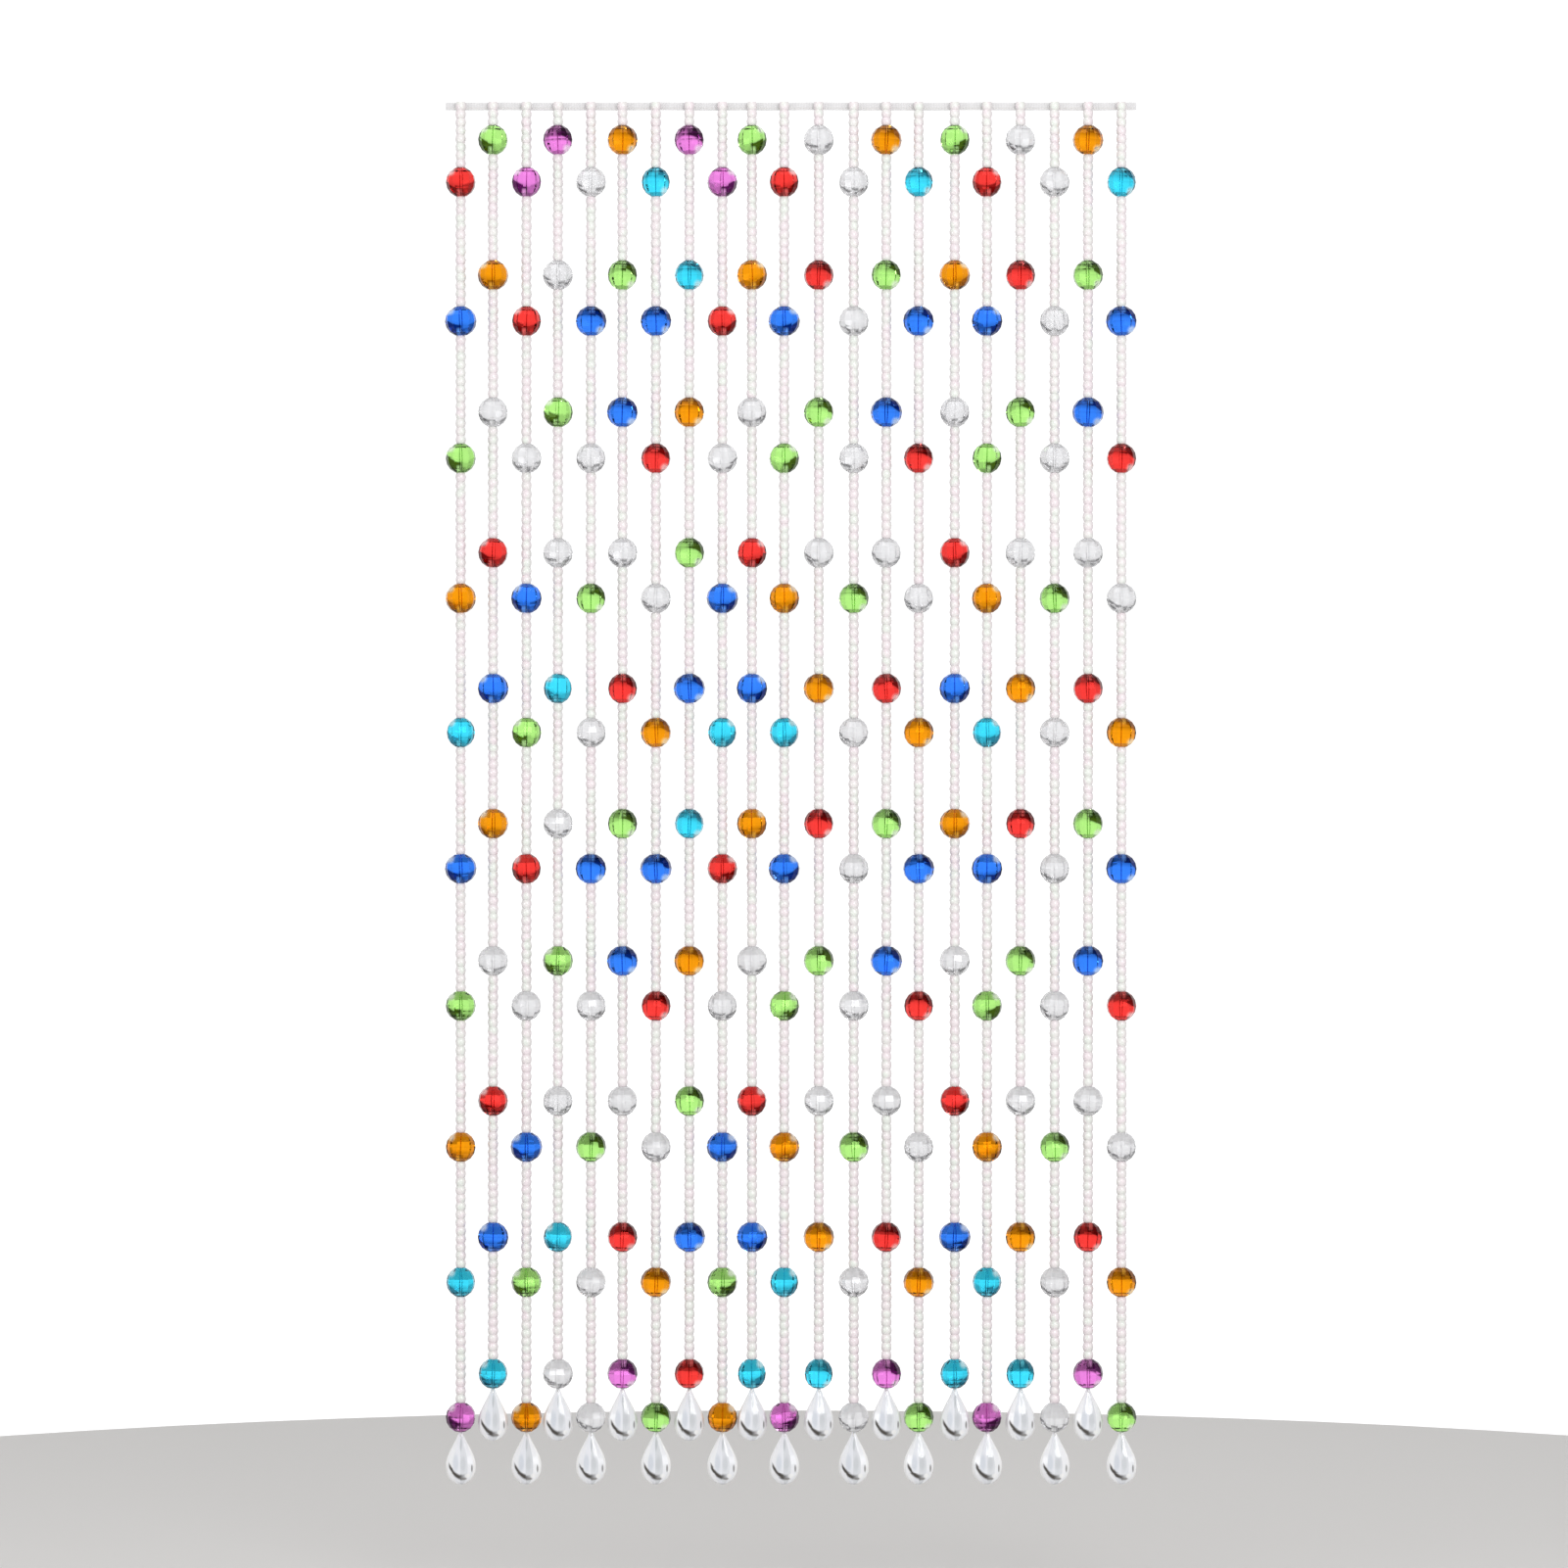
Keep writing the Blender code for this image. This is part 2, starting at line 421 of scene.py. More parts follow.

    # faint streaks along the bore, then the painted dark end, its painted pale line and the painted
    # highlight
    drawn = addNode(tree, "ShaderNodeMapping", {"Scale": dyeAndPaintedLight["streakStretch"]},
                    {"Vector": place.outputs["Vector"]})
    streaks = addNode(tree, "ShaderNodeTexNoise", {"Scale": 1.0, "Detail": 2.0},
                      {"Vector": drawn.outputs[0]})
    faint = addNode(tree, "ShaderNodeMapRange", {
        "From Min": 0.35, "From Max": 0.75, "To Max": dyeAndPaintedLight["streakDepth"],
    }, {"Value": streaks.outputs["Fac"]})
    body = addNode(tree, "ShaderNodeMix", {
        "data_type": "RGBA", 6: hexColour(colour["pale"]), 7: hexColour(colour["deep"]),
    }, {0: faint.outputs[0]})
    # the painted shade of the dark end mixed into the base colour
    paintShaded = addNode(tree, "ShaderNodeMix", {"data_type": "RGBA", 7: hexColour(colour["deep"])},
                   {0: mask.outputs[0], 6: body.outputs[2]})
    # painted highlight: the pale line up the bore is mixed towards white
    glint = addNode(tree, "ShaderNodeMath", {"operation": "MULTIPLY", 1: dyeAndPaintedLight["notchWhite"]},
                    {0: cuts["notch"].outputs[0]})
    lined = addNode(tree, "ShaderNodeMix", {"data_type": "RGBA", 7: (1, 1, 1, 1)},
                    {0: glint.outputs[0], 6: paintShaded.outputs[2]})
    # painted highlight: a pale patch on the far shoulder, mixed towards white
    biteX, biteZ = dyeAndPaintedLight["bitePlace"]
    reach = addNode(tree, "ShaderNodeVectorMath", {"operation": "MULTIPLY", 1: (1.0, 0.0, 1.0)},
                    {0: place.outputs["Vector"]})
    apart = addNode(tree, "ShaderNodeVectorMath", {"operation": "DISTANCE", 1: (biteX, 0.0, biteZ)},
                    {0: reach.outputs[0]})
    paintedHighlight = addNode(tree, "ShaderNodeMapRange", {
        "interpolation_type": "SMOOTHSTEP", "From Min": dyeAndPaintedLight["biteReach"],
        "From Max": dyeAndPaintedLight["biteReach"] * dyeAndPaintedLight["biteCore"],
        "To Max": dyeAndPaintedLight["clearHighlightWhite"] if isClear else dyeAndPaintedLight["highlightWhite"],
    }, {"Value": apart.outputs["Value"]})
    final = addNode(tree, "ShaderNodeMix", {"data_type": "RGBA", 7: (1, 1, 1, 1)},
                    {0: paintedHighlight.outputs[0], 6: lined.outputs[2]})
    tree.links.new(final.outputs[2], shader.inputs["Base Color"])

    smooth, worn = dyeAndPaintedLight["roughness"]
    rough = addNode(tree, "ShaderNodeMapRange", {"To Min": smooth, "To Max": worn},
                    {"Value": streaks.outputs["Fac"]})
    tree.links.new(rough.outputs[0], shader.inputs["Roughness"])
    clear = addNode(tree, "ShaderNodeMath", {
        "operation": "MULTIPLY_ADD", 1: -dyeAndPaintedLight["biteMilk"], 2: dyeAndPaintedLight["clearBallThrough"] if isClear else 1.0,
    }, {0: paintedHighlight.outputs[0]})
    tree.links.new(clear.outputs[0], shader.inputs["Transmission Weight"])
    shader.inputs["IOR"].default_value = 1.49
    shader.inputs["Specular Tint"].default_value = hexColour(colour["pale"])
    return material


def makeBalls():
    pattern = makeBallPattern()
    byColour = {letter: [] for letter in ballColours}
    for strand, kind in zip(strands, strandKinds):
        for height, letter in zip(strand["balls"], stringing[kind.upper()]):
            turned = letter.isupper()
            letter = letter.lower()
            size = ballColours[letter]["size"]
            tilt = math.radians(random.uniform(-ball["tiltDegrees"], ball["tiltDegrees"]))
            spin = Matrix.Rotation(random.uniform(0, 2 * math.pi), 4, "Z")
            lean = Matrix.Rotation(tilt, 4, "Y")
            thing = placedCopy(pattern, spin)
            markPlaces(thing, turned, kind.islower())
            there = Matrix.Translation((strand["x"], strand["y"], height))
            thing.data.transform(there @ lean @ Matrix.Diagonal((size, size, 1, 1)))
            byColour[letter].append(thing)
    bpy.data.objects.remove(pattern)
    for letter, things in byColour.items():
        colour = ballColours[letter]
        whole = joinPieces(things, colour["name"])
        material = cutAcrylic(colour, letter == "w")
        dress(whole, material, colour["slot"], "curtain_strands")


makeBalls()
print("large balls strung")


# Small pearl beads

pearl = {
    "width": 14 * mm,
    "height": 10.85 * mm,
    "stretch": 1.25,          # makes the sides fuller before the ends are cut flat
    "segments": 12,
    "rings": 6,
    "sizeSpread": 0.02,
    "slip": 0.15 * mm,
    "ridgeDegrees": 40,       # edges sharper than this stay crisp
    "cloudScale": 60.0,       # of the lacquer's tints, in clouds about 17 mm across
    "roughness": (0.18, 0.34),
}


# A round pearl with flat ends, which are closed because each one covers the next one's bore.
def makePearlPattern():
    radius = pearl["width"] / 2
    deselectAll()
    bpy.ops.mesh.primitive_uv_sphere_add(
        segments=pearl["segments"], ring_count=pearl["rings"], radius=radius)
    thing = startPiece("pearlPattern")
    bpy.ops.mesh.select_all(action="SELECT")
    bpy.ops.transform.resize(value=(1, 1, pearl["stretch"]))
    flat = pearl["height"] / 2
    for side in (1, -1):
        bpy.ops.mesh.select_all(action="SELECT")
        bpy.ops.mesh.bisect(
            plane_co=(0, 0, side * flat), plane_no=(0, 0, side), clear_outer=True, use_fill=True)
    bpy.ops.mesh.select_all(action="SELECT")
    bpy.ops.mesh.normals_make_consistent(inside=False)
    bpy.ops.object.mode_set(mode="OBJECT")
    bpy.ops.object.shade_smooth_by_angle(angle=math.radians(pearl["ridgeDegrees"]))
    return thing


# The small beads that fill a strand from top to bottom.
def pearlRun(strand, top, bottom):
    count = round((top - bottom) / pearl["height"])
    pitch = (top - bottom) / count
    places = []
    for index in range(count):
        grow = 1 + random.uniform(-pearl["sizeSpread"], pearl["sizeSpread"])
        place = Vector((
            strand["x"] + random.uniform(-1, 1) * pearl["slip"],
            strand["y"] + random.uniform(-1, 1) * pearl["slip"],
            bottom + (index + 0.5) * pitch,
        ))
        size = Matrix.Diagonal((grow, grow, pitch / pearl["height"], 1))
        spin = Matrix.Rotation(random.uniform(0, math.pi), 4, "Z")
        places.append(Matrix.Translation(place) @ size @ spin)
    return places


# One object that holds a copy of the pattern's mesh at each place.
def joinedCopies(pattern, places, name):
    bm = bmesh.new()
    for place in places:
        mesh = pattern.data.copy()
        mesh.transform(place)
        bm.from_mesh(mesh)
        bpy.data.meshes.remove(mesh)
    mesh = bpy.data.meshes.new(name)
    bm.to_mesh(mesh)
    bm.free()
    thing = bpy.data.objects.new(name, mesh)
    bpy.context.scene.collection.objects.link(thing)
    return thing


# Moulded plastic with a pearl lacquer: white with faint pink and green clouds, and towards the rim a darker
# pinkish grey, a pearly tint and painted shade.
def pearlPlastic():
    material, tree, shader = newMaterial("pearlLacquer")
    here = addNode(tree, "ShaderNodeTexCoord")
    cloud = addNode(tree, "ShaderNodeTexNoise", {"Scale": pearl["cloudScale"], "Detail": 1.0},
                    {"Vector": here.outputs["Object"]})
    tints = addNode(tree, "ShaderNodeValToRGB", links={0: cloud.outputs["Fac"]})
    ramp = tints.color_ramp
    ramp.elements[0].position, ramp.elements[0].color = 0.35, hexColour("#EEE3E7")
    ramp.elements[1].position, ramp.elements[1].color = 0.65, hexColour("#E7ECE5")
    middle = ramp.elements.new(0.5)
    middle.color = hexColour("#ECE8E7")
    # painted shade with a pearly tint: the colour turns a darker pinkish grey towards the rim
    edge = addNode(tree, "ShaderNodeLayerWeight", {"Blend": 0.4})
    paintedRimShade = addNode(tree, "ShaderNodeMix", {"data_type": "RGBA"}, {0: edge.outputs["Facing"]})
    tree.links.new(tints.outputs["Color"], paintedRimShade.inputs[6])
    paintedRimShade.inputs[7].default_value = hexColour("#D4C8CD")
    tree.links.new(paintedRimShade.outputs[2], shader.inputs["Base Color"])
    smooth, worn = pearl["roughness"]
    rough = addNode(tree, "ShaderNodeMapRange", {"To Min": smooth, "To Max": worn},
                    {"Value": cloud.outputs["Fac"]})
    tree.links.new(rough.outputs[0], shader.inputs["Roughness"])
    shader.inputs["IOR"].default_value = 1.53
    shader.inputs["Coat Weight"].default_value = 0.5
    shader.inputs["Coat Roughness"].default_value = 0.12
    return material


def makePearls():
    pattern = makePearlPattern()
    material = pearlPlastic()
    reach = curtain["ballFlat"] * curtain["ballDiameter"] / 2
    total = 0
    for number, strand in enumerate(strands, start=1):
        places = []
        top = topEdge
        for height in strand["balls"]:
            places += pearlRun(strand, top, height + reach)
            top = height - reach
        thing = joinedCopies(pattern, places, f"pearls_{number:02d}")
        dress(thing, material, "pearl_white", "curtain_strands")
        total += len(places)
    bpy.data.objects.remove(pattern)
    return total


print("pearls strung:", makePearls())


# Thread

thread = {
    "diameter": 1.0 * mm,
    "sides": 6,
    "endIn": 1.0 * mm,        # how far its ends lie inside the first and last bead
    "loopHigh": 3.4 * mm,
    "loopDeep": 2.6 * mm,
    "loopThick": 0.8 * mm,
    "plyScale": 160.0,        # of a diagonal wave, which makes one band in 3.9 mm
}


# Twisted white polyester thread. Its plies are too fine to show, so they are drawn 4 mm apart.
def threadFibre():
    material, tree, shader = newMaterial("twistedThread")
    here = addNode(tree, "ShaderNodeTexCoord")
    plies = addNode(tree, "ShaderNodeTexWave", {"bands_direction": "DIAGONAL", "Scale": thread["plyScale"]},
                    {"Vector": here.outputs["Object"]})
    tone = addNode(tree, "ShaderNodeValToRGB", links={0: plies.outputs["Fac"]})
    tone.color_ramp.elements[0].color = hexColour("#CFCBC6")
    tone.color_ramp.elements[1].color = hexColour("#F4F1EC")
    tree.links.new(tone.outputs["Color"], shader.inputs["Base Color"])
    bump = addNode(tree, "ShaderNodeBump", {"Strength": 0.4, "Distance": 0.2 * mm},
                   {"Height": plies.outputs["Fac"]})
    tree.links.new(bump.outputs[0], shader.inputs["Normal"])
    shader.inputs["Roughness"].default_value = 0.75
    return material


def makeThreads(material):
    reach = curtain["ballFlat"] * curtain["ballDiameter"] / 2
    things = []
    for strand in strands:
        top = topEdge - thread["endIn"]
        bottom = strand["balls"][-1] - reach + thread["endIn"]
        deselectAll()
        bpy.ops.mesh.primitive_cylinder_add(
            vertices=thread["sides"], radius=thread["diameter"] / 2, depth=top - bottom)
        thing = bpy.context.active_object
        thing.data.transform(Matrix.Translation((strand["x"], strand["y"], (top + bottom) / 2)))
        things.append(thing)
    whole = joinPieces(things, "strandThreads")
    pickOnly(whole)
    bpy.ops.object.shade_smooth_by_angle(angle=math.radians(70))
    dress(whole, material, "thread", "curtain_strands")


threadMaterial = threadFibre()
makeThreads(threadMaterial)
print("threads drawn")


# Teardrop pendants

pendant = {
    "length": 68 * mm,
    "width": 39 * mm,
    "thickness": 21 * mm,
    "sides": 12,
    "ridgeDegrees": 18,       # edges sharper than this stay crisp
    "turnDegrees": 5,         # how far each may hang turned
    "profile": [              # share of the length from the tip, share of the half width
        (0.0, 0.10), (0.05, 0.17), (0.12, 0.28), (0.22, 0.46), (0.34, 0.68), (0.46, 0.87),
        (0.57, 0.98), (0.67, 1.0), (0.77, 0.96), (0.86, 0.83), (0.93, 0.63), (0.98, 0.38),
    ],
    "endShare": 0.18,
    "holeDown": 5.0 * mm,
    "holeDiameter": 1.8 * mm,
}


# A flattened teardrop cut in facets, with its tip at the origin, built ring by ring downwards.
def makePendantPattern():
    half = pendant["width"] / 2
    flatten = pendant["thickness"] / pendant["width"]
    first = pendant["profile"][0][1]
    deselectAll()
    bpy.ops.mesh.primitive_circle_add(
        vertices=pendant["sides"], radius=first * half, fill_type="NGON")
    thing = startPiece("pendantPattern")
    steps = pendant["profile"] + [(1.0, pendant["endShare"])]
    for (down, wide), (nextDown, nextWide) in zip(steps, steps[1:]):
        fall = (nextDown - down) * pendant["length"]
        bpy.ops.mesh.extrude_region_move(TRANSFORM_OT_translate={"value": (0, 0, -fall)})
        grow = nextWide / wide
        bpy.ops.transform.resize(value=(grow, grow, 1), center_override=(0, 0, 0))
    bpy.ops.mesh.select_all(action="SELECT")
    bpy.ops.transform.resize(value=(1, flatten, 1), center_override=(0, 0, 0))
    bpy.ops.mesh.normals_make_consistent(inside=False)
    bpy.ops.object.mode_set(mode="OBJECT")
    drillTip(thing)
    bpy.ops.object.shade_smooth_by_angle(angle=math.radians(pendant["ridgeDegrees"]))
    return thing


# Cuts the small hole through the tip, from front to back.
def drillTip(thing):
    deselectAll()
    bpy.ops.mesh.primitive_cylinder_add(
        vertices=12, radius=pendant["holeDiameter"] / 2, depth=pendant["thickness"],
        location=(0, 0, -pendant["holeDown"]), rotation=(math.pi / 2, 0, 0))
    drill = bpy.context.active_object
    cut = thing.modifiers.new("tipHole", "BOOLEAN")
    cut.operation, cut.solver, cut.object = "DIFFERENCE", "EXACT", drill
    applyModifiers(thing)
    bpy.data.objects.remove(drill)


pendantPaintedLight = {
    "through": (0.34, 0.08),  # share of light let through by the greyest and the whitest facets
    "bandDown": 0.858,        # the painted dark curved band, painted shade, as shares of the length and the half width
    "bandMiddle": 0.1,
    "bandCurve": 0.30,
    "bandHalf": 0.047,
    "bandSoft": 0.030,
    "bandShift": 0.014,       # how far single facets carry it up or down
    "bandFrom": -0.84,        # where it begins on the left and ends on the right
    "bandTo": 0.50,
    "bandFades": (0.15, 0.6),          # over how much of the half width it begins and ends
    "bandColour": "#4E4A46",
    "paintedSpots": [                # painted light and shade spots: x, down, half width, half height, colour, strength
        # a painted dark streak, the painted band's grey end, a painted white highlight, painted grey shade
        # right of the middle and near the tip, and a pale painted highlight on the left
        (0.77, 0.69, 0.08, 0.10, "#5E5A56", 0.75),
        (0.24, 0.885, 0.26, 0.035, "#8A8682", 0.8),
        (0.48, 0.83, 0.22, 0.06, "#FFFFFF", 1.0),
        (0.20, 0.60, 0.24, 0.20, "#C6CBCF", 0.4),
        (0.03, 0.24, 0.10, 0.16, "#C2C8CC", 0.6),
        (-0.30, 0.58, 0.26, 0.22, "#D3DAE4", 0.6),
    ],
    "columnTones": (1.0, 0.7, 0.25, 0.5, 0.75, 1.0),        # painted light by facet columns from right to left, whitest at the rims
    "toneSpread": 0.08,
}


# Clear cut acrylic with a painted silvered look: pale facets painted as if they threw light back from
# inside, a painted whiter rim, and one painted dark curved band where the lower facets would turn the light
# away.
def clearAcrylic():
    material, tree, shader = newMaterial("clearCutAcrylic")
    place = addNode(tree, "ShaderNodeAttribute", {"attribute_name": "pendantPlace"})
    axes = addNode(tree, "ShaderNodeSeparateXYZ", links={0: place.outputs["Vector"]})
    facet = addNode(tree, "ShaderNodeAttribute", {"attribute_name": "facetTone"})

    # painted light: facets are greyer in the middle columns and whiter at the rims, between cool and warm
    # white
    tint = addNode(tree, "ShaderNodeValToRGB", links={0: facet.outputs["Fac"]})
    ramp = tint.color_ramp
    ramp.elements[0].color = hexColour("#E3E6E9")
    ramp.elements[1].color = hexColour("#FFFFFF")
    ramp.elements.new(0.5).color = hexColour("#F4F6FC")

    # how far a place lies from the middle line of the painted dark band
    aside = addNode(tree, "ShaderNodeMath", {"operation": "ADD", 1: -pendantPaintedLight["bandMiddle"]},
                    {0: axes.outputs["X"]})
    square = addNode(tree, "ShaderNodeMath", {"operation": "MULTIPLY"},
                     {0: aside.outputs[0], 1: aside.outputs[0]})
    line = addNode(tree, "ShaderNodeMath", {"operation": "MULTIPLY_ADD", 1: pendantPaintedLight["bandCurve"]},
                   {0: square.outputs[0], 2: axes.outputs["Z"]})
    shift = addNode(tree, "ShaderNodeAttribute", {"attribute_name": "facetShift"})
    moved = addNode(tree, "ShaderNodeMath", {"operation": "MULTIPLY_ADD", 1: pendantPaintedLight["bandShift"]},
                    {0: shift.outputs["Fac"], 2: line.outputs[0]})
    offLine = addNode(tree, "ShaderNodeMath", {"operation": "ADD", 1: -pendantPaintedLight["bandDown"]},
                      {0: moved.outputs[0]})
    away = addNode(tree, "ShaderNodeMath", {"operation": "ABSOLUTE"}, {0: offLine.outputs[0]})
    across = addNode(tree, "ShaderNodeMapRange", {
        "interpolation_type": "SMOOTHSTEP", "From Min": pendantPaintedLight["bandHalf"] + pendantPaintedLight["bandSoft"],
        "From Max": pendantPaintedLight["bandHalf"] - pendantPaintedLight["bandSoft"],
    }, {"Value": away.outputs[0]})
    along = addNode(tree, "ShaderNodeMapRange", {
        "interpolation_type": "SMOOTHSTEP", "From Min": pendantPaintedLight["bandTo"],
        "From Max": pendantPaintedLight["bandTo"] - pendantPaintedLight["bandFades"][1],
    }, {"Value": axes.outputs["X"]})
    start = addNode(tree, "ShaderNodeMapRange", {
        "interpolation_type": "SMOOTHSTEP", "From Min": pendantPaintedLight["bandFrom"],
        "From Max": pendantPaintedLight["bandFrom"] + pendantPaintedLight["bandFades"][0],
    }, {"Value": axes.outputs["X"]})
    band = addNode(tree, "ShaderNodeMath", {"operation": "MULTIPLY"},
                   {0: across.outputs[0], 1: along.outputs[0]})
    mask = addNode(tree, "ShaderNodeMath", {"operation": "MULTIPLY"},
                   {0: band.outputs[0], 1: start.outputs[0]})
    # the painted shade of the dark band mixed into the facet tone
    colour = addNode(tree, "ShaderNodeMix", {"data_type": "RGBA", 7: hexColour(pendantPaintedLight["bandColour"])},
                     {0: mask.outputs[0], 6: tint.outputs["Color"]})
    # painted spots of light and shade mixed into the colour
    for x, down, halfWide, halfHigh, tone, strength in pendantPaintedLight["paintedSpots"]:
        offSpot = addNode(tree, "ShaderNodeVectorMath", {"operation": "SUBTRACT", 1: (x, 0.0, down)},
                          {0: place.outputs["Vector"]})
        scaled = addNode(tree, "ShaderNodeVectorMath", {
            "operation": "MULTIPLY", 1: (1 / halfWide, 0.0, 1 / halfHigh),
        }, {0: offSpot.outputs[0]})
        apart = addNode(tree, "ShaderNodeVectorMath", {"operation": "LENGTH"}, {0: scaled.outputs[0]})
        spot = addNode(tree, "ShaderNodeMapRange", {
            "interpolation_type": "SMOOTHSTEP", "From Min": 1.0, "From Max": 0.4, "To Max": strength,
        }, {"Value": apart.outputs["Value"]})
        colour = addNode(tree, "ShaderNodeMix", {"data_type": "RGBA", 7: hexColour(tone)},
                         {0: spot.outputs[0], 6: colour.outputs[2]})
    tree.links.new(colour.outputs[2], shader.inputs["Base Color"])
    here = addNode(tree, "ShaderNodeTexCoord")
    marks = addNode(tree, "ShaderNodeTexNoise", {"Scale": 90.0, "Detail": 3.0},
                    {"Vector": here.outputs["Object"]})
    rough = addNode(tree, "ShaderNodeMapRange", {"To Min": 0.01, "To Max": 0.06},
                    {"Value": marks.outputs["Fac"]})
    tree.links.new(rough.outputs[0], shader.inputs["Roughness"])
    shader.inputs["IOR"].default_value = 1.49
    through = addNode(tree, "ShaderNodeMapRange", {
        "To Min": pendantPaintedLight["through"][0], "To Max": pendantPaintedLight["through"][1],
    }, {"Value": facet.outputs["Fac"]})
    tree.links.new(through.outputs[0], shader.inputs["Transmission Weight"])
    return material


# Keeps where each point lies on the pendant, x in half widths and how far down in lengths,
# gives each column of facets its painted light tone, and lets the painted dark band jump a little from
# facet to facet.
def markPendant(thing):
    half, deep = pendant["width"] / 2, pendant["thickness"] / 2
    place = thing.data.attributes.new("pendantPlace", "FLOAT_VECTOR", "POINT")
    for vertex, value in zip(thing.data.vertices, place.data):
        x, y, z = vertex.co
        value.vector = (x / half, y / deep, -z / pendant["length"])
    tones = pendantPaintedLight["columnTones"]
    tone = thing.data.attributes.new("facetTone", "FLOAT", "FACE")
    spread = [random.uniform(-1, 1) * pendantPaintedLight["toneSpread"] for _ in tones]
    for face, value in zip(thing.data.polygons, tone.data):
        turn = math.atan2(abs(face.center.y) / deep, face.center.x / half)
        column = min(int(turn / math.pi * len(tones)), len(tones) - 1)
        value.value = min(max(tones[column] + spread[column], 0.0), 1.0)
    shift = thing.data.attributes.new("facetShift", "FLOAT", "FACE")
    for value in shift.data:
        value.value = random.uniform(-1, 1)


def makePendants():
    pattern = makePendantPattern()
    material = clearAcrylic()
    for number, strand in enumerate(strands, start=1):
        angle = random.uniform(-pendant["turnDegrees"], pendant["turnDegrees"])
        turn = Matrix.Rotation(math.radians(angle), 4, "Z")
        there = Matrix.Translation((strand["x"], strand["y"], strand["tip"]))
        thing = placedCopy(pattern, Matrix.Identity(4))
        markPendant(thing)
        thing.data.transform(there @ turn)
        thing.name = thing.data.name = f"pendant_{number:02d}"
        dress(thing, material, "clear_acrylic", strand["node"])
    bpy.data.objects.remove(pattern)


# The thread's end: a loop through each pendant's tip, up into the bore of its ball.
def makePendantLoops(material):
    deselectAll()
    bpy.ops.mesh.primitive_torus_add(
        major_segments=16, minor_segments=6, major_radius=thread["loopHigh"],
        minor_radius=thread["loopThick"] / 2, rotation=(0, math.pi / 2, 0))
    pattern = bpy.context.active_object
    bpy.ops.object.transform_apply(location=False, rotation=True, scale=False)
    narrow = Matrix.Diagonal((1, thread["loopDeep"] / thread["loopHigh"], 1, 1))
    rise = thread["loopHigh"] - pendant["holeDown"]
    places = [Matrix.Translation((s["x"], s["y"], s["tip"] + rise)) @ narrow for s in strands]
    whole = joinedCopies(pattern, places, "pendantLoops")
    bpy.data.objects.remove(pattern)
    pickOnly(whole)
    bpy.ops.object.shade_smooth()
    dress(whole, material, "thread", "curtain_strands")


makePendants()
makePendantLoops(threadMaterial)
print("pendants hung")


# Heading tape

tape = {
    "length": 900 * mm,
    "height": 10 * mm,
    "back": 1.5 * mm,         # the tape's back face, where the CAD's is
    "thickness": 2.0 * mm,
    "cuts": 180,
    "roundEdge": 0.5 * mm,
    "waver": 0.25 * mm,       # how far it rises and falls
    "waverTurns": 46,         # radians for each metre along it
    "waverMix": 0.37,         # and the slower wave on top
    "yarn": 1.0 * mm,         # as drawn; two yarns make one wave
    "waveLength": 0.314,      # metres between the bands of a wave texture of scale 1
    "stitchLength": 2.4 * mm,
    "stitchPitch": 3.6 * mm,
    "stitchThick": 0.7 * mm,
    "stitchDown": 7.6 * mm,
    "tackWraps": 3,
    "tackSpacing": 1.3 * mm,
    "tackThick": 0.8 * mm,
    "tackFlat": 0.62,         # half its depth, as a share of the tape's thickness
    "tackLean": 4,            # degrees
}


# Plain-woven white polyester tape. Its yarns are 0.5 mm apart, drawn at 1 mm so that they show.
def tapeWeave():
    material, tree, shader = newMaterial("wovenTape")
    here = addNode(tree, "ShaderNodeTexCoord")
    scale = tape["waveLength"] / (2 * tape["yarn"])
    warp = addNode(tree, "ShaderNodeTexWave", {"bands_direction": "Z", "Scale": scale},
                   {"Vector": here.outputs["Object"]})
    weft = addNode(tree, "ShaderNodeTexWave", {"bands_direction": "X", "Scale": scale},
                   {"Vector": here.outputs["Object"]})
    cross = addNode(tree, "ShaderNodeMath", {"operation": "MULTIPLY"},
                    {0: warp.outputs["Fac"], 1: weft.outputs["Fac"]})
    tone = addNode(tree, "ShaderNodeValToRGB", links={0: cross.outputs[0]})
    tone.color_ramp.elements[0].color = hexColour("#D3D2D3")
    tone.color_ramp.elements[1].color = hexColour("#EEEDEE")
    tree.links.new(tone.outputs["Color"], shader.inputs["Base Color"])
    bump = addNode(tree, "ShaderNodeBump", {"Strength": 0.5, "Distance": 0.2 * mm},
                   {"Height": cross.outputs[0]})
    tree.links.new(bump.outputs[0], shader.inputs["Normal"])
    shader.inputs["Roughness"].default_value = 0.85
    shader.inputs["Sheen Weight"].default_value = 0.2
    return material


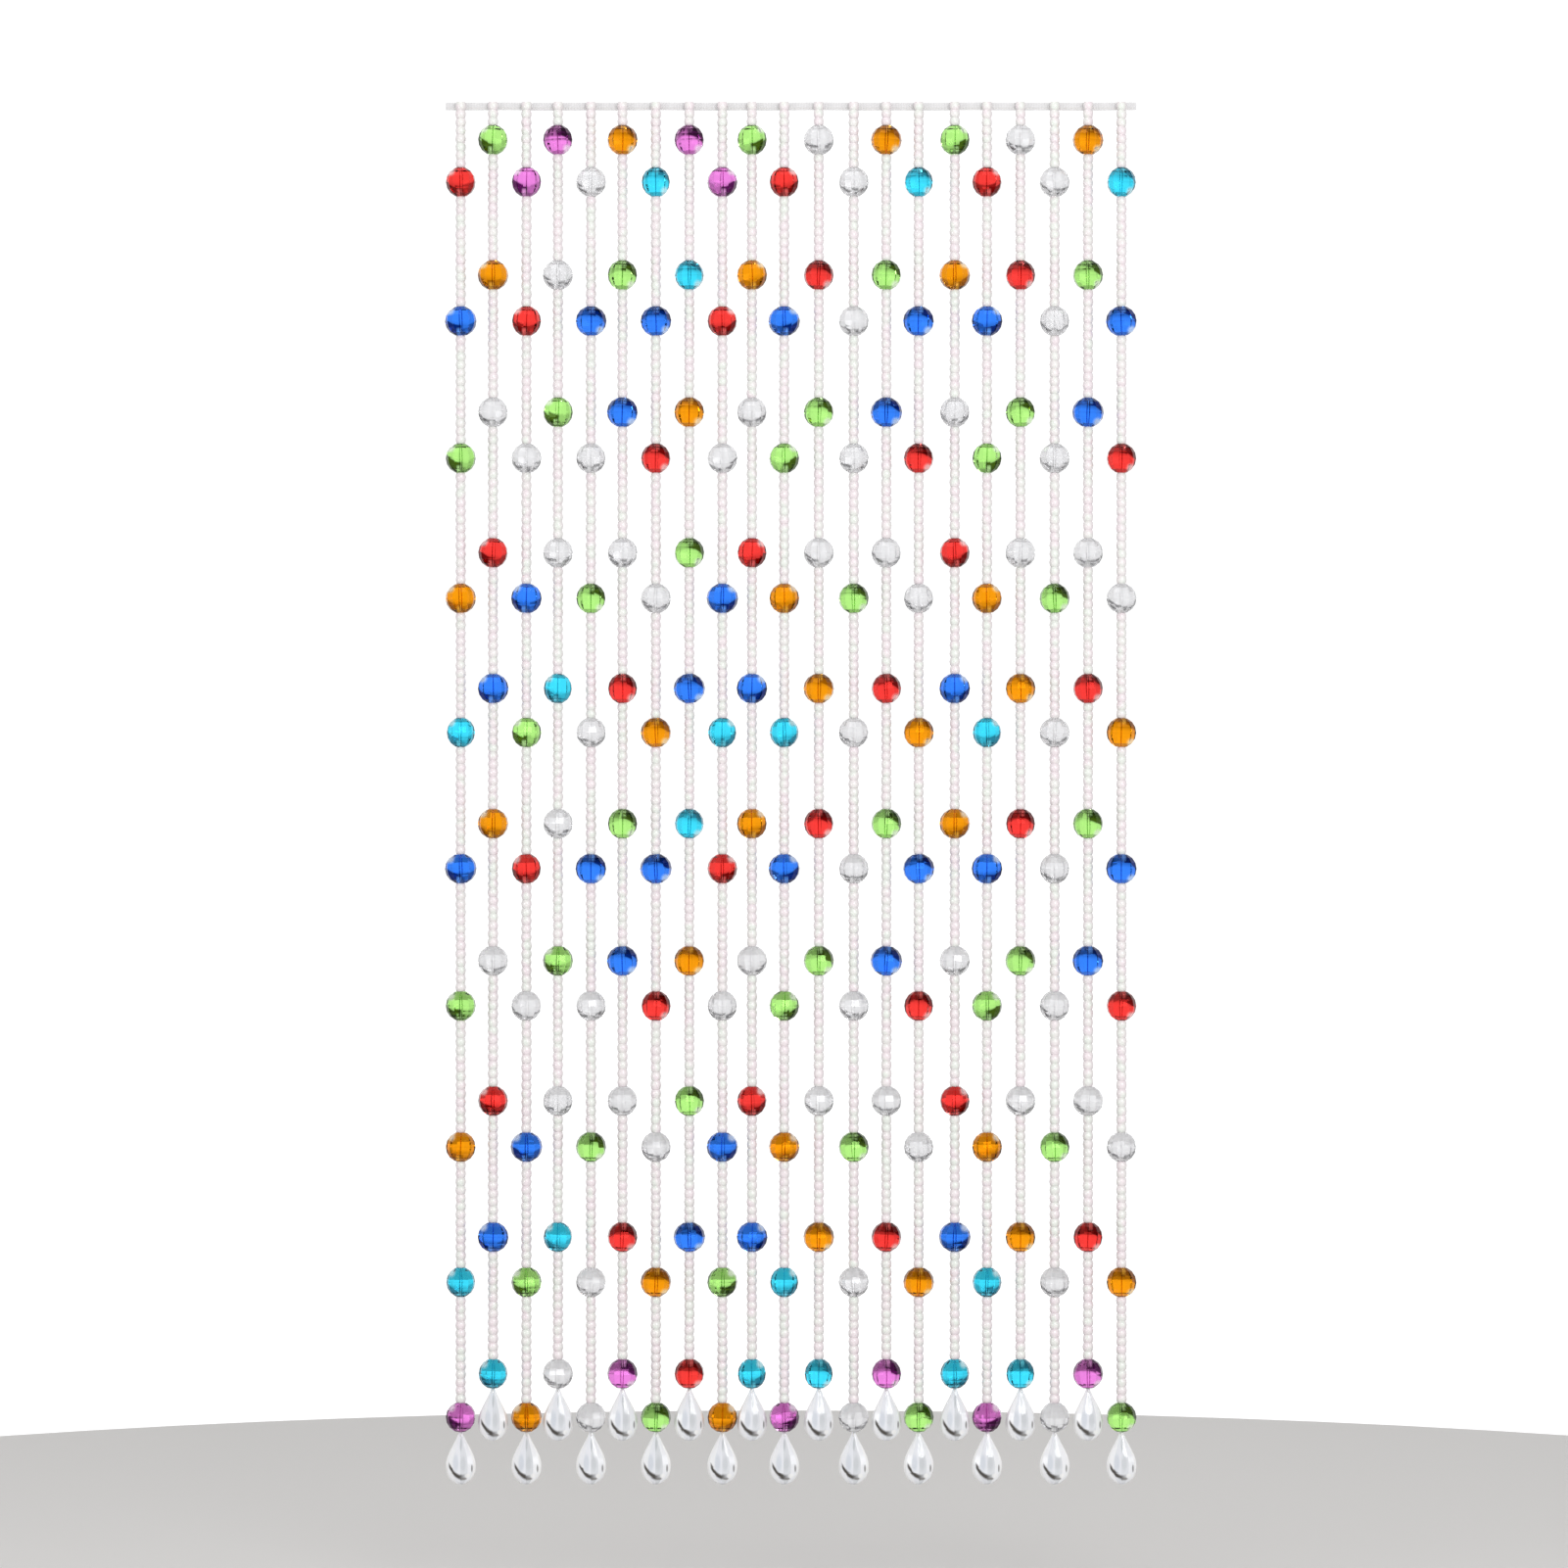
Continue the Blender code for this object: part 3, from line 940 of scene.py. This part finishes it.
def makeTape():
    middleY = tape["back"] - tape["thickness"] / 2
    deselectAll()
    bpy.ops.mesh.primitive_cube_add(size=1, scale=(tape["length"], tape["thickness"], tape["height"]))
    bpy.ops.object.transform_apply(location=False, rotation=False, scale=True)
    thing = startPiece("headingTape")
    bpy.ops.mesh.select_all(action="SELECT")
    bpy.ops.transform.translate(value=(0, middleY, -tape["height"] / 2))
    step = tape["length"] / tape["cuts"]
    for index in range(1, tape["cuts"]):
        bpy.ops.mesh.select_all(action="SELECT")
        bpy.ops.mesh.bisect(plane_co=(index * step - tape["length"] / 2, 0, 0), plane_no=(1, 0, 0))
    bpy.ops.object.mode_set(mode="OBJECT")
    for vertex in thing.data.vertices:        # a narrow tape never lies quite straight
        phase = vertex.co.x * tape["waverTurns"]
        vertex.co.z += tape["waver"] * math.sin(phase) * math.sin(phase * tape["waverMix"] + 1)
    soften = thing.modifiers.new("soften", "BEVEL")
    soften.width, soften.segments, soften.limit_method = tape["roundEdge"], 2, "ANGLE"
    applyModifiers(thing)
    bpy.ops.object.shade_smooth_by_angle(angle=math.radians(50))
    dress(thing, tapeWeave(), "heading_tape", "curtain_strands")


# One running line of stitches along the front of the tape.
def makeStitches(material):
    deselectAll()
    bpy.ops.mesh.primitive_uv_sphere_add(segments=8, ring_count=5, radius=0.5)
    thing = bpy.context.active_object
    size = (tape["stitchLength"], tape["stitchThick"], tape["stitchThick"])
    front = tape["back"] - tape["thickness"]
    count = int(tape["length"] / tape["stitchPitch"]) - 1
    first = -(count - 1) / 2 * tape["stitchPitch"]
    thing.data.transform(
        Matrix.Translation((first, front, -tape["stitchDown"])) @ Matrix.Diagonal((*size, 1)))
    row = thing.modifiers.new("row", "ARRAY")
    row.use_relative_offset, row.use_constant_offset = False, True
    row.constant_offset_displace, row.count = (tape["stitchPitch"], 0, 0), count
    applyModifiers(thing)
    bpy.ops.object.shade_smooth()
    thing.name = thing.data.name = "tapeStitches"
    dress(thing, material, "thread", "curtain_strands")


# Where a strand is sewn on, its thread is wrapped round the tape a few times.
def makeTacks(material):
    deselectAll()
    bpy.ops.mesh.primitive_torus_add(
        major_segments=16, minor_segments=5, major_radius=tape["height"] / 2,
        minor_radius=tape["tackThick"] / 2, rotation=(0, math.pi / 2, 0))
    pattern = bpy.context.active_object
    bpy.ops.object.transform_apply(location=False, rotation=True, scale=False)
    flat = Matrix.Diagonal((1, tape["thickness"] * tape["tackFlat"] / (tape["height"] / 2), 1, 1))
    middleY = tape["back"] - tape["thickness"] / 2
    places = []
    for strand in strands:
        for wrap in range(tape["tackWraps"]):
            across = (wrap - (tape["tackWraps"] - 1) / 2) * tape["tackSpacing"]
            angle = random.uniform(-tape["tackLean"], tape["tackLean"])
            lean = Matrix.Rotation(math.radians(angle), 4, "Y")
            there = Matrix.Translation((strand["x"] + across, middleY, -tape["height"] / 2))
            places.append(there @ lean @ flat)
    whole = joinedCopies(pattern, places, "strandTacks")
    bpy.data.objects.remove(pattern)
    pickOnly(whole)
    bpy.ops.object.shade_smooth()
    dress(whole, material, "thread", "curtain_strands")


makeTape()
makeStitches(threadMaterial)
makeTacks(threadMaterial)
print("heading sewn")


# Floor, light and camera

stage = {
    "floorBelow": 150 * mm,
    "floorRadius": 2.3,
    "floorColour": "#DAD8D6",
    "middle": (0, 0, -0.9),   # what the lamps are aimed at
}


def makeFloor():
    deselectAll()
    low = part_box(strands[0]["node"])[0].z - stage["floorBelow"]
    bpy.ops.mesh.primitive_circle_add(
        vertices=96, radius=stage["floorRadius"], fill_type="NGON", location=(0, 0, low))
    floor = bpy.context.active_object
    floor.name = "studioFloor"
    material, tree, shader = newMaterial("paintedFloor")
    shader.inputs["Base Color"].default_value = hexColour(stage["floorColour"])
    shader.inputs["Roughness"].default_value = 0.6
    floor.data.materials.append(material)


studio = {
    "horizon": 1.15,          # white all round
    "above": 0.50,            # and dimmer overhead
    "fadeFrom": 0.45,         # sine of the elevation where it begins to fade
    "fadeTo": 0.85,
    "sides": 0.36,            # how much less comes from straight left and right
    "front": 0.32,            # how much less comes from behind the camera
    "frontFrom": 0.2,         # and where along Y that begins and is full
    "frontFull": -0.6,
}


# Soft light from all round, brightest at the horizon and dimmer from above and from the two sides.
def makeStudioLight():
    world = bpy.data.worlds.new("studioLight")
    bpy.context.scene.world = world
    world.use_nodes = True
    tree = world.node_tree
    here = addNode(tree, "ShaderNodeTexCoord")
    axes = addNode(tree, "ShaderNodeSeparateXYZ", links={0: here.outputs["Generated"]})
    up = addNode(tree, "ShaderNodeMapRange", {
        "interpolation_type": "SMOOTHSTEP", "From Min": studio["fadeFrom"],
        "From Max": studio["fadeTo"], "To Min": studio["horizon"], "To Max": studio["above"],
    }, {"Value": axes.outputs["Z"]})
    wide = addNode(tree, "ShaderNodeMath", {"operation": "MULTIPLY"},
                   {0: axes.outputs["X"], 1: axes.outputs["X"]})
    dim = addNode(tree, "ShaderNodeMath", {"operation": "MULTIPLY_ADD", 1: -studio["sides"], 2: 1.0},
                  {0: wide.outputs[0]})
    behind = addNode(tree, "ShaderNodeMapRange", {
        "interpolation_type": "SMOOTHSTEP", "From Min": studio["frontFrom"],
        "From Max": studio["frontFull"], "To Min": 1.0, "To Max": 1.0 - studio["front"],
    }, {"Value": axes.outputs["Y"]})
    around = addNode(tree, "ShaderNodeMath", {"operation": "MULTIPLY"},
                     {0: dim.outputs[0], 1: behind.outputs[0]})
    level = addNode(tree, "ShaderNodeMath", {"operation": "MULTIPLY"},
                    {0: up.outputs[0], 1: around.outputs[0]})
    tree.links.new(level.outputs[0], tree.nodes["Background"].inputs["Strength"])
    tree.nodes["Background"].inputs["Color"].default_value = (1, 1, 1, 1)


lamps = [
    {"name": "keySoftbox", "place": (1.3, -4.6, 0.4), "size": 2.0, "power": 76},
    {"name": "topSoftbox", "place": (-0.6, -0.8, 2.6), "size": 2.4, "power": 30},
    {"name": "leftSoftbox", "place": (-2.8, -2.6, -1.1), "size": 1.4, "power": 18},
    {"name": "rightSoftbox", "place": (2.8, -2.6, -1.1), "size": 1.4, "power": 14},
]


def makeLamps():
    for lamp in lamps:
        light = bpy.data.lights.new(lamp["name"], "AREA")
        light.shape, light.size, light.energy = "DISK", lamp["size"], lamp["power"]
        thing = bpy.data.objects.new(lamp["name"], light)
        bpy.context.scene.collection.objects.link(thing)
        thing.location = lamp["place"]
        thing.visible_camera = False
        aim = Vector(stage["middle"]) - Vector(lamp["place"])
        thing.rotation_euler = aim.to_track_quat("-Z", "Y").to_euler()


view = {
    "photoSide": 1601,        # pixels
    "pixel": 1.2748 * mm,     # real size of one of the photo's pixels at the curtain
    "curtainMiddle": 807.75,  # pixel column of the curtain's middle
    "topEdge": 104,           # pixel row of the heading's top edge
    "lens": 135,              # mm
}


# Straight on from the front with a long lens, framed as the photo is.
def makeCamera():
    data = bpy.data.cameras.new("photoCamera")
    data.lens = view["lens"]
    camera = bpy.data.objects.new("photoCamera", data)
    bpy.context.scene.collection.objects.link(camera)
    centre = view["photoSide"] / 2
    span = view["photoSide"] * view["pixel"]
    away = span * data.lens / data.sensor_width
    camera.location = (
        (centre - view["curtainMiddle"]) * view["pixel"],
        strands[0]["y"] - away,
        -(centre - view["topEdge"]) * view["pixel"],
    )
    camera.rotation_euler = (math.pi / 2, 0, 0)
    bpy.context.scene.camera = camera
    bpy.context.scene.view_settings.view_transform = "Standard"


makeFloor()
makeStudioLight()
makeLamps()
makeCamera()
print("studio set")
